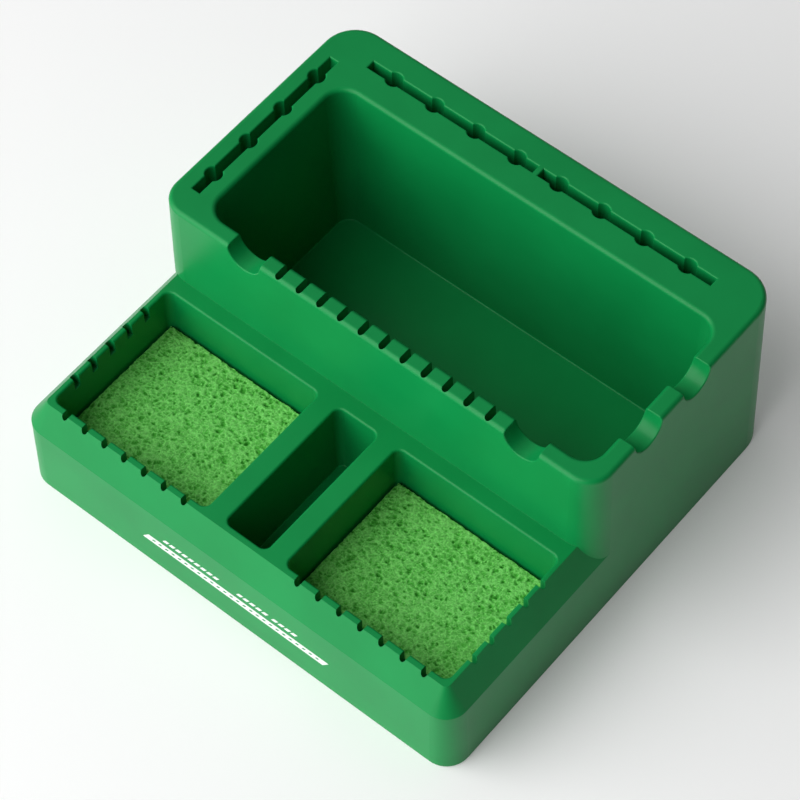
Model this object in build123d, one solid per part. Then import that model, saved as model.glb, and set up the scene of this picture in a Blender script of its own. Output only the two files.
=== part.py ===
from build123d import *
from math import radians, tan
import os

# A bench organiser for a soldering place: a deep tub at the rear, a low tray in front of it with
# two sponge wells and a narrow centre well, and notches, slots and holes in the rims for tools.
# Millimetres. +X is to the right, +Y to the rear, +Z up. The origin is the middle of the footprint.

# Outer body
width = 170.0
depth = 160.0
height = 73.4
draft = 1.0
rear_corner_radius = 13.0
base_edge_radius = 0.5
rim_edge_radius = 1.6
overshoot = 2.0
flat_tolerance = 0.05

# Front tray
tray_height = 38.1
tray_corner_radius = 8.2
tray_reach = 20.0
tub_front = -13.4
tub_corner_radius = 10.0
bevel_drop = 9.3
bevel_angle = 32.2

# Wells in the tray
well_front = -71.4
well_back = -19.0
well_floor = 6.5
well_draft = 0.4
well_corner_radius = 2.5
well_floor_radius = 0.5
well_edge_radius = 0.8
left_well = (-77.0, -15.5)
centre_well = (-8.0, 8.0)
right_well = (15.5, 77.0)

# Wire notches in the tray rim: short upright slots with a round tip that breaks out of the bevel
wire_notch_width = 2.4
wire_notch_depth = 5.2
wire_notch_reach = 0.8
wire_notch_pitch = 8.0
front_notch_count = 7
side_notch_count = 5

# Tub cavity
cavity_x = (-69.0, 77.4)
cavity_y = (-6.6, 56.2)
cavity_floor = 8.5
cavity_draft = 1.7
cavity_corner_radius = 7.0
cavity_floor_radius = 0.6
cavity_edge_radius = 1.5

# Handle notches in the right and front rims: cylinders with their axes a little below the rim
rim_pattern_x = 4.0
handle_notch_radius = 6.3
handle_notch_sink = 0.6
handle_notch_edge_radius = 0.4
right_notch_places = (13.3, 36.6)
front_notch_offset = 53.0

# Narrow grooves in the front rim: upright slots with a round tip just behind the front face
groove_width = 2.3
groove_pitch = 8.0
groove_count = 11
groove_depth = 7.0
groove_skin = 0.3

# Tool slots and holes in the rear and left rims
slot_width = 3.1
slot_depth = 48.0
slot_edge_radius = 0.5
hole_diameter = 5.6
hole_pitch = 16.2
rear_slot_y = 67.9
rear_slot_web = 2.0
rear_slot_end = 66.3
rear_hole_count = 4
left_slot_x = -76.4
left_slot_y = (-3.0, 62.2)
left_hole_count = 4

# Sponges
sponge_size = (60.3, 50.5, 14.5)
sponge_side_gap = 0.45
sponge_back_gap = 0.95
sponge_edge_radius = 0.8

# Ink print on the front face: a strip with a row of windows, and three rows of dashes above it
ink_thickness = 0.1
print_slant = 0.8
strip_span = (-34.5, 37.1)
strip_low = 12.2
strip_height = 3.0
window_size = (1.2, 1.1)
window_pitch = 2.6
window_count = 26
dash_size = (1.7, 1.5)
dash_low = 17.4
dash_pitch = 2.5
dash_rows = ((-15.9, 9), (8.6, 5), (21.2, 4))


def middle(span):
    return (span[0] + span[1]) / 2


def evenly(centre, pitch, count):
    """Places at an even pitch about a centre."""
    return [centre + pitch * (i - (count - 1) / 2) for i in range(count)]


def inset(drop, angle=draft):
    """How far a drafted wall leans in over a rise."""
    return drop * tan(radians(angle))


def block(x_span, y_span, z_span):
    """A plain box from its three spans."""
    size = [span[1] - span[0] for span in (x_span, y_span, z_span)]
    return Pos(middle(x_span), middle(y_span), middle(z_span)) * Box(*size)


def pocket(x_span, y_span, z_span, radius, taper, floor_radius):
    """A cutter that narrows downwards, with a rounded floor edge."""
    outline = RectangleRounded(x_span[1] - x_span[0], y_span[1] - y_span[0], radius)
    top = Plane(origin=(middle(x_span), middle(y_span), z_span[1]), x_dir=(1, 0, 0), z_dir=(0, 0, -1))
    cutter = extrude(top * outline, amount=z_span[1] - z_span[0], taper=taper)
    return fillet(cutter.edges().group_by(Axis.Z)[0], floor_radius)


def bar_along(axis, place, span, radius, centre_z):
    """A cylinder that lies along X or Y."""
    length = span[1] - span[0]
    if axis == "x":
        return Pos(middle(span), place, centre_z) * Rot(0, 90, 0) * Cylinder(radius, length)
    return Pos(place, middle(span), centre_z) * Rot(90, 0, 0) * Cylinder(radius, length)


def upright_slot(axis, place, tip, open_end, width_across, bottom, top):
    """An upright slot cutter that runs along X or Y from a round tip to an open end."""
    radius = width_across / 2
    tip_centre = tip + radius if open_end > tip else tip - radius
    sides = (place - radius, place + radius)
    span = sorted((tip_centre, open_end))
    walls = (bottom, top + overshoot)
    cutter = block(span, sides, walls) if axis == "x" else block(sides, span, walls)
    spot = (tip_centre, place) if axis == "x" else (place, tip_centre)
    return cutter + Pos(*spot, middle(walls)) * Cylinder(radius, walls[1] - walls[0])


def corner_outline(x_span, y_span, front_radius, rear_radius):
    """A rectangle with one radius on its front corners and one on its rear corners."""
    outline = Rectangle(x_span[1] - x_span[0], y_span[1] - y_span[0])
    outline = fillet(outline.vertices().group_by(Axis.Y)[-1], rear_radius)
    outline = fillet(outline.vertices().group_by(Axis.Y)[0], front_radius)
    return Pos(middle(x_span), middle(y_span)) * outline


def outer_shape():
    """The tray with its sloped rim, and the tub behind it."""
    crease = tray_height - bevel_drop
    sides = (-width / 2, width / 2)
    outline = corner_outline(sides, (-depth / 2, tray_reach), tray_corner_radius, tray_corner_radius)
    tray = extrude(outline, amount=crease, taper=draft)
    tray += extrude(tray.faces().sort_by(Axis.Z)[-1], amount=bevel_drop, taper=bevel_angle)
    tub_y = (tub_front - inset(tray_height), depth / 2)
    outline = corner_outline(sides, tub_y, tub_corner_radius, rear_corner_radius)
    return tray + extrude(outline, amount=height, taper=draft)


def handle_notches():
    """Half-round notches through the right rim and the front rim of the tub."""
    centre_z = height - handle_notch_sink
    right_span = (cavity_x[1] - overshoot, width / 2 + overshoot)
    front_span = (tub_front - overshoot, cavity_y[0] + overshoot)
    for place in right_notch_places:
        yield bar_along("x", place, right_span, handle_notch_radius, centre_z)
    for side in (-1, 1):
        place = rim_pattern_x + side * front_notch_offset
        yield bar_along("y", place, front_span, handle_notch_radius, centre_z)


def wire_notches():
    """Small notches through the tray's rim, along the front and both sides."""
    bottom = tray_height - wire_notch_depth
    rim = inset(tray_height - bevel_drop) + inset(bevel_drop, bevel_angle) - wire_notch_reach
    front = rim - depth / 2
    for well in (left_well, right_well):
        for place in evenly(middle(well), wire_notch_pitch, front_notch_count):
            yield upright_slot("y", place, front, well_front + overshoot, wire_notch_width,
                               bottom, tray_height)
    for place in evenly(middle((well_front, well_back)), wire_notch_pitch, side_notch_count):
        yield upright_slot("x", place, rim - width / 2, left_well[0] + overshoot,
                           wire_notch_width, bottom, tray_height)
        yield upright_slot("x", place, width / 2 - rim, right_well[1] - overshoot,
                           wire_notch_width, bottom, tray_height)


def rim_grooves():
    """Narrow grooves in the front rim, open to the cavity."""
    tip = tub_front + inset(height - tray_height) + groove_skin
    for place in evenly(rim_pattern_x, groove_pitch, groove_count):
        yield upright_slot("y", place, tip, cavity_y[0] + overshoot, groove_width,
                           height - groove_depth, height)


def tool_slot(axis, across, span, hole_places):
    """A narrow slot with round holes along it, cut down from the rim."""
    z_span = (height - slot_depth, height)
    sides = (across - slot_width / 2, across + slot_width / 2)
    cutter = block(span, sides, z_span) if axis == "x" else block(sides, span, z_span)
    for place in hole_places:
        spot = (place, across) if axis == "x" else (across, place)
        cutter += Pos(*spot, middle(z_span)) * Cylinder(hole_diameter / 2, slot_depth)
    return cutter


def tool_slots():
    """Two slots in the rear rim and one in the left rim."""
    for side in (-1, 1):
        span = sorted((side * rear_slot_web / 2, side * rear_slot_end))
        places = [side * hole_pitch * (i + 0.5) for i in range(rear_hole_count)]
        yield tool_slot("x", rear_slot_y, span, places)
    places = evenly(middle(left_slot_y), hole_pitch, left_hole_count)
    yield tool_slot("y", left_slot_x, left_slot_y, places)


def edges_in_box(body, x_span, y_span, z_span):
    """The edges with their middles inside a box."""
    picked = []
    for edge in body.edges():
        spot = edge.center()
        places = zip((spot.X, spot.Y, spot.Z), (x_span, y_span, z_span))
        if all(span[0] <= place <= span[1] for place, span in places):
            picked.append(edge)
    return picked


def flat_edges(body, x_span, y_span, z):
    """The edges that lie flat at a height with their middles inside a rectangle."""
    return edges_in_box(body, x_span, y_span, (z - flat_tolerance, z + flat_tolerance))


def round_cavity_edge(body):
    """Round the edge between the rim and the tub's cavity."""
    left_right = (cavity_x[0] - flat_tolerance, cavity_x[1] + flat_tolerance)
    front_back = (cavity_y[0] - flat_tolerance, cavity_y[1] + flat_tolerance)
    return fillet(flat_edges(body, left_right, front_back, height), cavity_edge_radius)


def round_handle_notches(body):
    """Round the edges that the handle notches make in the rim."""
    reach = handle_notch_radius + handle_notch_edge_radius
    z_span = (height - handle_notch_sink - reach, height + flat_tolerance)
    right_rim = (cavity_x[1] - overshoot, width / 2)
    front_rim = (tub_front - overshoot, cavity_y[0] + overshoot)
    picked = []
    for place in right_notch_places:
        picked += edges_in_box(body, right_rim, (place - reach, place + reach), z_span)
    for side in (-1, 1):
        place = rim_pattern_x + side * front_notch_offset
        picked += edges_in_box(body, (place - reach, place + reach), front_rim, z_span)
    return fillet(picked, handle_notch_edge_radius)


def round_well_edges(body):
    """Round the top edges of the three wells."""
    front_back = (well_front - flat_tolerance, well_back + flat_tolerance)
    for well in (left_well, centre_well, right_well):
        left_right = (well[0] - flat_tolerance, well[1] + flat_tolerance)
        body = fillet(flat_edges(body, left_right, front_back, tray_height), well_edge_radius)
    return body


def round_slot_edges(body):
    """Round the top edges of the tool slots, holes included."""
    reach = hole_diameter / 2 + flat_tolerance
    rear_y = (rear_slot_y - reach, rear_slot_y + reach)
    left_x = (left_slot_x - reach, left_slot_x + reach)
    left_y = (left_slot_y[0] - flat_tolerance, left_slot_y[1] + flat_tolerance)
    body = fillet(flat_edges(body, (-width / 2, width / 2), rear_y, height), slot_edge_radius)
    return fillet(flat_edges(body, left_x, left_y, height), slot_edge_radius)


def organiser_body():
    """The one-piece moulding."""
    body = outer_shape()
    body = fillet(body.edges().group_by(Axis.Z)[0], base_edge_radius)
    body = fillet(body.edges().group_by(Axis.Z)[-1], rim_edge_radius)
    body -= pocket(cavity_x, cavity_y, (cavity_floor, height), cavity_corner_radius,
                   cavity_draft, cavity_floor_radius)
    body = round_cavity_edge(body)
    for notch in handle_notches():
        body -= notch
    body = round_handle_notches(body)
    for well in (left_well, centre_well, right_well):
        body -= pocket(well, (well_front, well_back), (well_floor, tray_height),
                       well_corner_radius, well_draft, well_floor_radius)
    body = round_well_edges(body)
    for notch in wire_notches():
        body -= notch
    for slot in tool_slots():
        body -= slot
    body = round_slot_edges(body)
    for groove in rim_grooves():
        body -= groove
    return body


def sponge(well):
    """A sponge that lies on a well's floor, by the well's left and rear walls."""
    long_side, short_side, thickness = sponge_size
    wall_lean = inset(tray_height - well_floor - thickness, well_draft)
    left = well[0] + wall_lean + sponge_side_gap
    back = well_back - wall_lean - sponge_back_gap
    shape = block((left, left + long_side), (back - short_side, back),
                  (well_floor, well_floor + thickness))
    return fillet(shape.edges(), sponge_edge_radius)


def slanted(centre_x, low, size):
    """A slanted four-sided outline, with its middle at a place along X."""
    half = size[0] / 2
    lean = print_slant * size[1] / 2
    corners = [(-half - lean, 0), (half - lean, 0), (half + lean, size[1]), (lean - half, size[1])]
    return Pos(centre_x, low) * make_face(Polyline(*corners, close=True))


def front_print():
    """The ink marks, laid on the drafted front face."""
    length = strip_span[1] - strip_span[0]
    strip = slanted(middle(strip_span), strip_low, (length, strip_height))
    window_low = strip_low + (strip_height - window_size[1]) / 2
    for place in evenly(middle(strip_span), window_pitch, window_count):
        strip -= slanted(place, window_low, window_size)
    outlines = [strip]
    for centre, count in dash_rows:
        for place in evenly(centre, dash_pitch, count):
            outlines.append(slanted(place, dash_low, dash_size))
    face = Plane(origin=(0, -depth / 2, 0), x_dir=(1, 0, 0), z_dir=(0, -1, tan(radians(draft))))
    marks = [extrude(face * outline, amount=ink_thickness) for outline in outlines]
    return Compound(children=[Solid(mark.solid().wrapped) for mark in marks])


os.makedirs("parts", exist_ok=True)
export_step(organiser_body(), "parts/organiser_body.step")
export_step(sponge(left_well), "parts/left_sponge.step")
export_step(sponge(right_well), "parts/right_sponge.step")
export_step(front_print(), "parts/front_print.step")
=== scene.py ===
from itertools import product
from math import cos, radians, sin

import bpy
import numpy as np
from mathutils import Matrix, Vector


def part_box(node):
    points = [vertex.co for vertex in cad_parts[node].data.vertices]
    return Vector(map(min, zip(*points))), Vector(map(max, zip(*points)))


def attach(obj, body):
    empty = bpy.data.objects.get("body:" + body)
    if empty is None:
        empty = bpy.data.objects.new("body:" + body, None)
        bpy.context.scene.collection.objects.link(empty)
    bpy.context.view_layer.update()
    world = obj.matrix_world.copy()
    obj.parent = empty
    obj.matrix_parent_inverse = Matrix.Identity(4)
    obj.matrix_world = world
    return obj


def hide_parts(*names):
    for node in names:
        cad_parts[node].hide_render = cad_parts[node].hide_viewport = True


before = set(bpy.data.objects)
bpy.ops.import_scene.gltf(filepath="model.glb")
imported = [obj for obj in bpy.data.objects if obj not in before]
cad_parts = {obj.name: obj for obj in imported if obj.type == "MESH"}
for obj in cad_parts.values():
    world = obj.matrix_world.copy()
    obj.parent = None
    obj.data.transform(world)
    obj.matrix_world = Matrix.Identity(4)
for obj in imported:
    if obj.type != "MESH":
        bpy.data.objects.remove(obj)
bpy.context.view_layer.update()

# Lengths are in metres, angles in degrees and colours linear. A noise is its scale, per metre
# unless a comment says otherwise, and its detail.

# Camera: from the front right, high up, with a long lens given in millimetres
camera_azimuth = 40.93
camera_elevation = 56.77
camera_roll = -1.78
camera_distance = 1.0195
camera_aim = Vector((0.00167, -0.00146, 0.0300))
camera_lens = 149.74
camera_near = 0.01

# Lights: name, azimuth, elevation, distance, side and power in watts. Azimuth 0 is in front of
# the object and 90 to its right.
lights = (
    ("key", -26.0, 34.0, 1.6, 2.2, 51.0),
    ("left", -80.0, 42.0, 1.6, 2.2, 5.0),
    ("rear", -170.0, 55.0, 1.6, 2.2, 4.0),
)
white = (1.0, 1.0, 1.0, 1.0)
world_strength = 0.02

# Floor: a faint glow of its own keeps it pale where the lights fall off
floor_half_width = 3.0
floor_pale = (0.90, 0.90, 0.90, 1.0)
floor_rough = 0.9
floor_glow = 0.10

# Silicone: two greens mottled by a broad noise, from the first place in it to the second, a fine
# mould grain, and arrises that shade as if they were rounded
silicone_deep = (0.0026, 0.226, 0.0530, 1.0)
silicone_light = (0.0034, 0.252, 0.0600, 1.0)
mottle_noise = (35.0, 3.0)
mottle_places = (0.35, 0.65)
grain_noise = (2600.0, 2.0)
grain_strength = 0.12
grain_height = 0.00005
arris_radius = 0.00015
arris_samples = 4
silicone_rough = 0.36
silicone_specular = 0.19

# Ink: white, worn to a share of its brightness by a fine noise, whose scale is across the print's box
ink_white = (0.80, 0.83, 0.80, 1.0)
ink_wear = 0.86
ink_noise = (1800.0, 3.0)
ink_rough = 0.6

# Sponge colours: of the webs, lightened as painted light on them, of the plain surface, and of the
# pores, darkened as painted shade in them
sponge_web_painted_light = (0.192, 0.650, 0.136, 1.0)
sponge_middle = (0.057, 0.372, 0.034, 1.0)
sponge_pore_painted_shade = (0.010, 0.185, 0.003, 1.0)
sponge_rough = 0.75
sponge_specular = 0.25

# Painted shade on the sponge, from nought on a web in painted light to one in a pore in painted
# shade: its level on the plain surface, and how much painted shade a full pore and a full swell add
painted_shade_middle = 0.46
painted_shade_pore = 0.62
painted_shade_swell = 0.07

# Threads, drawn by the material only as lines of painted light: the size of their meshes, half their
# width, the noise that bends them and how far, and how much they lift the painted shade towards a
# web's painted light
thread_gap = 0.0016
thread_width = 0.00022
thread_noise = (900.0, 1.0)
thread_bend = 0.0008
thread_painted_light = 0.30

# Fibres, finer still: a noise that darkens and brightens the colour between two places in it
fibre_noise = (1900.0, 3.0)
fibre_places = (0.30, 0.70)
fibre_dark = (0.72, 0.72, 0.72, 1.0)
fibre_bright = (1.18, 1.18, 1.18, 1.0)
fibre_strength = 0.3
fibre_height = 0.0002

# Sponge mesh: the side and random seed of each sponge, the grid's step and the edges' rounding
sponges = (("left", 11), ("right", 12))
sponge_step = 0.0003
sponge_round = 0.0006

# Webs: cell size, height, and width as a share of the size. A web's strength is a least one and
# a random spread above it.
web_layers = ((0.0027, 1.0, 0.30), (0.0015, 0.85, 0.38))
web_height = 0.00032
web_least = 0.35
web_spread = 0.65

# Pores: cell size, the share of cells with a pore, and its smallest and largest reach as shares of
# the size. A pore's depth is a least one and a spread above it, full over a share of its reach,
# and a web that crosses a pore fills a share of it.
pore_layers = ((0.0016, 0.70, 0.38, 0.66), (0.0030, 0.30, 0.26, 0.44))
pore_depth = 0.00080
pore_least = 0.55
pore_spread = 0.45
pore_floor = 0.25
pore_fill = 0.75

# Noise that bends the webs and pores, as size and reach, and that swells the whole surface
warps = ((0.0021, 0.00055), (0.0009, 0.00025))
swell_size = 0.0040
swell_reach = 0.00010

# Farther than any seed of the neighbouring cells, in cells
far_away = 9.0

# The colour sockets of a Mix node
mix_a, mix_b, mix_result = 6, 7, 2


def put(node, socket, value):
    """Set a socket that nothing is joined to."""
    node.inputs[socket].default_value = value


class Shader:
    """A node tree with short calls to add and join nodes."""

    def __init__(self, name):
        self.material = bpy.data.materials.new(name)
        self.material.use_nodes = True
        self.tree = self.material.node_tree
        self.shader = self.tree.nodes["Principled BSDF"]

    def add(self, kind, **settings):
        """A new node, with sockets and settings given by name."""
        node = self.tree.nodes.new(kind)
        for name, value in settings.items():
            if name in node.inputs:
                put(node, name, value)
            else:
                setattr(node, name, value)
        return node

    def join(self, source, output, target, socket):
        """Join a node's output to another node's socket."""
        self.tree.links.new(source.outputs[output], target.inputs[socket])

    def noise(self, place, scale, detail):
        """A noise texture in the object's own space."""
        node = self.add("ShaderNodeTexNoise", Scale=scale, Detail=detail)
        self.join(place, "Object", node, "Vector")
        return node

    def ramp(self, *stops):
        """A colour ramp from (place, colour) pairs."""
        node = self.add("ShaderNodeValToRGB")
        elements = node.color_ramp.elements
        while len(elements) < len(stops):
            elements.new(1.0)
        for element, (place, colour) in zip(elements, stops):
            element.position = place
            element.color = colour
        return node


def direction(azimuth, elevation):
    """The unit vector from the object towards a place round it."""
    a, e = radians(azimuth), radians(elevation)
    return Vector((sin(a) * cos(e), -cos(a) * cos(e), sin(e)))


def silicone():
    """Satin moulded silicone."""
    s = Shader("green_silicone")
    place = s.add("ShaderNodeTexCoord")
    mottle = s.noise(place, *mottle_noise)
    ramp = s.ramp((mottle_places[0], silicone_deep), (mottle_places[1], silicone_light))
    s.join(mottle, "Fac", ramp, "Fac")
    s.join(ramp, "Color", s.shader, "Base Color")
    grain = s.noise(place, *grain_noise)
    edge = s.add("ShaderNodeBevel", Radius=arris_radius, samples=arris_samples)
    bump = s.add("ShaderNodeBump", Strength=grain_strength, Distance=grain_height)
    s.join(grain, "Fac", bump, "Height")
    s.join(edge, "Normal", bump, "Normal")
    s.join(bump, "Normal", s.shader, "Normal")
    put(s.shader, "Roughness", silicone_rough)
    put(s.shader, "Specular IOR Level", silicone_specular)
    return s.material


def threads(s, place):
    """A net of bent threads of painted light: their lift along each thread, and nought between them.
    """
    bend = s.noise(place, *thread_noise)
    bent = s.add("ShaderNodeVectorMath", operation="MULTIPLY_ADD")
    s.join(bend, "Color", bent, 0)
    put(bent, 1, (thread_bend, thread_bend, thread_bend))
    s.join(place, "Object", bent, 2)
    net = s.add("ShaderNodeTexVoronoi", feature="DISTANCE_TO_EDGE", Scale=1.0 / thread_gap)
    s.join(bent, "Vector", net, "Vector")
    lift = s.add("ShaderNodeMapRange")
    put(lift, "From Max", thread_width / thread_gap)
    put(lift, "To Min", thread_painted_light)
    put(lift, "To Max", 0.0)
    s.join(net, "Distance", lift, "Value")
    return lift


def sponge_foam():
    """Cellulose sponge: painted light on the webs and painted shade in the pores, read from the mesh,
    with threads of painted light and fibres.
    """
    s = Shader("sponge")
    painted_shade = s.add("ShaderNodeAttribute", attribute_name="painted_shade")
    place = s.add("ShaderNodeTexCoord")
    level = s.add("ShaderNodeMath", operation="SUBTRACT")
    s.join(painted_shade, "Fac", level, 0)
    s.join(threads(s, place), "Result", level, 1)
    # Painted light on the webs and painted shade in the pores, by the painted shade level
    ramp = s.ramp((0.0, sponge_web_painted_light), (painted_shade_middle, sponge_middle), (1.0, sponge_pore_painted_shade))
    s.join(level, "Value", ramp, "Fac")
    fibre = s.noise(place, *fibre_noise)
    shade = s.ramp((fibre_places[0], fibre_dark), (fibre_places[1], fibre_bright))
    s.join(fibre, "Fac", shade, "Fac")
    mix = s.add("ShaderNodeMix", data_type="RGBA", blend_type="MULTIPLY", Factor=1.0)
    s.join(ramp, "Color", mix, mix_a)
    s.join(shade, "Color", mix, mix_b)
    s.join(mix, mix_result, s.shader, "Base Color")
    bump = s.add("ShaderNodeBump", Strength=fibre_strength, Distance=fibre_height)
    s.join(fibre, "Fac", bump, "Height")
    s.join(bump, "Normal", s.shader, "Normal")
    put(s.shader, "Roughness", sponge_rough)
    put(s.shader, "Specular IOR Level", sponge_specular)
    return s.material


def ink():
    """Matte screen-print ink."""
    s = Shader("white_ink")
    scale, detail = ink_noise
    grain = s.add("ShaderNodeTexNoise", Scale=scale, Detail=detail)
    worn = tuple(ink_wear * part for part in ink_white[:3]) + (1.0,)
    ramp = s.ramp((0.0, worn), (1.0, ink_white))
    s.join(grain, "Fac", ramp, "Fac")
    s.join(ramp, "Color", s.shader, "Base Color")
    put(s.shader, "Roughness", ink_rough)
    return s.material


def paint(thing, material):
    """Give an object one material."""
    thing.data.materials.clear()
    thing.data.materials.append(material)


def show(name, data):
    """A new object in the scene."""
    thing = bpy.data.objects.new(name, data)
    bpy.context.scene.collection.objects.link(thing)
    return thing


def smooth(low, high, values):
    """Nought below low, one above high, and an even S between them."""
    t = np.clip((values - low) / (high - low), 0.0, 1.0)
    return t * t * (3.0 - 2.0 * t)


def cells(points, size, draw):
    """The distances to the nearest and the next nearest of scattered seeds, and a draw per seed."""
    spots = points / size
    first = np.floor(spots.min(0)).astype(int) - 1
    count = np.floor(spots.max(0)).astype(int) - first + 2
    seeds = draw.random((*count, 3))
    chance = draw.random(tuple(count))
    home = np.floor(spots).astype(int)
    near = np.full(len(points), far_away)
    second = np.full(len(points), far_away)
    chosen = np.zeros(len(points))
    for step in product((-1, 0, 1), repeat=3):
        cell = home + step
        index = tuple((cell - first).T)
        away = np.linalg.norm(cell + seeds[index] - spots, axis=1)
        closer = away < near
        second = np.where(closer, near, np.minimum(second, away))
        chosen = np.where(closer, chance[index], chosen)
        near = np.where(closer, away, near)
    return near, second, chosen


def wander(points, size, draw):
    """Smooth noise vectors between -1 and 1, from a lattice of random ones."""
    spots = points / size
    first = np.floor(spots.min(0)).astype(int)
    count = np.floor(spots.max(0)).astype(int) - first + 2
    lattice = draw.random((*count, 3)) * 2.0 - 1.0
    home = np.floor(spots).astype(int)
    share = smooth(0.0, 1.0, spots - home)
    total = np.zeros_like(points)
    for step in product((0, 1), repeat=3):
        corner = np.array(step)
        weight = np.prod(np.where(corner == 1, share, 1.0 - share), axis=1)
        total += weight[:, None] * lattice[tuple((home + corner - first).T)]
    return total


def shell(low, high, step):
    """A closed grid over a box: its points, and four-sided faces that look outwards."""
    size = high - low
    count = np.round(size / step).astype(int)
    number = -np.ones(tuple(count + 1), dtype=int)
    grid = np.stack(np.meshgrid(*[np.arange(n + 1) for n in count], indexing="ij"), -1)
    outside = ((grid == 0) | (grid == count)).any(-1)
    places = grid[outside]
    number[outside] = np.arange(len(places))
    faces = []
    for axis in range(3):
        for end in (0, count[axis]):
            sheet = np.take(number, end, axis=axis)
            a, b, c, d = sheet[:-1, :-1], sheet[1:, :-1], sheet[1:, 1:], sheet[:-1, 1:]
            quads = np.stack((a, b, c, d), -1).reshape(-1, 4)
            inwards = (end == 0) == (axis != 1)
            faces.append(quads[:, ::-1] if inwards else quads)
    return low + places * (size / count), np.concatenate(faces)


def foam(points, draw):
    """How high the webs stand and how deep the pores go at points, both from nought to one."""
    warped = points.copy()
    for size, reach in warps:
        warped += reach * wander(points, size, draw)
    web = np.zeros(len(points))
    for size, height, width in web_layers:
        near, second, chance = cells(warped, size, draw)
        strength = height * (web_least + web_spread * chance)
        web = np.maximum(web, strength * (1.0 - smooth(0.0, width, second - near)))
    pore = np.zeros(len(points))
    for size, share, least, most in pore_layers:
        near, _, chance = cells(warped, size, draw)
        part = chance / share
        reach = least + (most - least) * part
        depth = (pore_least + pore_spread * part) * (1.0 - smooth(pore_floor * reach, reach, near))
        pore = np.maximum(pore, np.where(chance < share, depth, 0.0))
    return web, pore * (1.0 - pore_fill * web)


def sponge(side, seed, material):
    """A sponge block whose surface is an open net of webs and pores."""
    node = side + "_sponge"
    low, high = (np.array(corner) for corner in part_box(node))
    points, faces = shell(low, high, sponge_step)
    core = np.clip(points, low + sponge_round, high - sponge_round)
    outwards = points - core
    outwards /= np.linalg.norm(outwards, axis=1)[:, None]
    draw = np.random.default_rng(seed)
    web, pore = foam(points, draw)
    swell = wander(points, swell_size, draw)[:, 0]
    sunk = web_height * (1.0 - web) + pore_depth * pore + swell_reach * (1.0 + swell)
    mesh = bpy.data.meshes.new(side + "_sponge_foam")
    mesh.from_pydata(core + outwards * (sponge_round - sunk)[:, None], [], faces)
    painted_shade = mesh.attributes.new("painted_shade", "FLOAT", "POINT")
    # Painted shade for the material: darker in pores and where the surface swells inwards, lighter on
    # webs
    shade = painted_shade_middle - painted_shade_middle * web + painted_shade_pore * pore + painted_shade_swell * swell
    painted_shade.data.foreach_set("value", np.clip(shade, 0.0, 1.0).astype(np.float32))
    mesh.shade_smooth()
    piece = show(side + "_sponge_foam", mesh)
    paint(piece, material)
    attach(piece, side + "_sponge_block")
    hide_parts(node)


def light(name, azimuth, elevation, distance, side, power):
    """A square softbox that looks at the object."""
    lamp = bpy.data.lights.new(name, "AREA")
    lamp.size = side
    lamp.energy = power
    towards = direction(azimuth, elevation)
    holder = show(name, lamp)
    holder.location = towards * distance
    holder.rotation_euler = towards.to_track_quat("Z", "Y").to_euler()


def studio():
    """The surrounding light and the softboxes."""
    world = bpy.data.worlds.new("studio")
    bpy.context.scene.world = world
    world.use_nodes = True
    background = world.node_tree.nodes["Background"]
    put(background, "Color", white)
    put(background, "Strength", world_strength)
    for row in lights:
        light(*row)


def ground():
    """A plain pale floor."""
    half = floor_half_width
    mesh = bpy.data.meshes.new("floor")
    corners = [(-half, -half, 0), (half, -half, 0), (half, half, 0), (-half, half, 0)]
    mesh.from_pydata(corners, [], [(0, 1, 2, 3)])
    floor = show("floor", mesh)
    s = Shader("floor")
    put(s.shader, "Base Color", floor_pale)
    put(s.shader, "Roughness", floor_rough)
    put(s.shader, "Emission Color", white)
    put(s.shader, "Emission Strength", floor_glow)
    paint(floor, s.material)


def camera():
    """The scene's camera."""
    back = direction(camera_azimuth, camera_elevation)
    level = Vector((cos(radians(camera_azimuth)), sin(radians(camera_azimuth)), 0.0))
    turn = Matrix.Rotation(radians(camera_roll), 3, back)
    right = turn @ level
    up = turn @ back.cross(level)
    lens = bpy.data.cameras.new("camera")
    lens.lens = camera_lens
    lens.clip_start = camera_near
    spot = camera_aim + camera_distance * back
    rotation = Matrix((right, up, back)).transposed().to_4x4()
    holder = show("camera", lens)
    holder.matrix_world = Matrix.Translation(spot) @ rotation
    bpy.context.scene.camera = holder


paint(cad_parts["organiser_body"], silicone())
paint(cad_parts["front_print"], ink())
sponge_look = sponge_foam()
for side, seed in sponges:
    sponge(side, seed, sponge_look)
studio()
ground()
camera()
bpy.context.scene.view_settings.view_transform = "Standard"
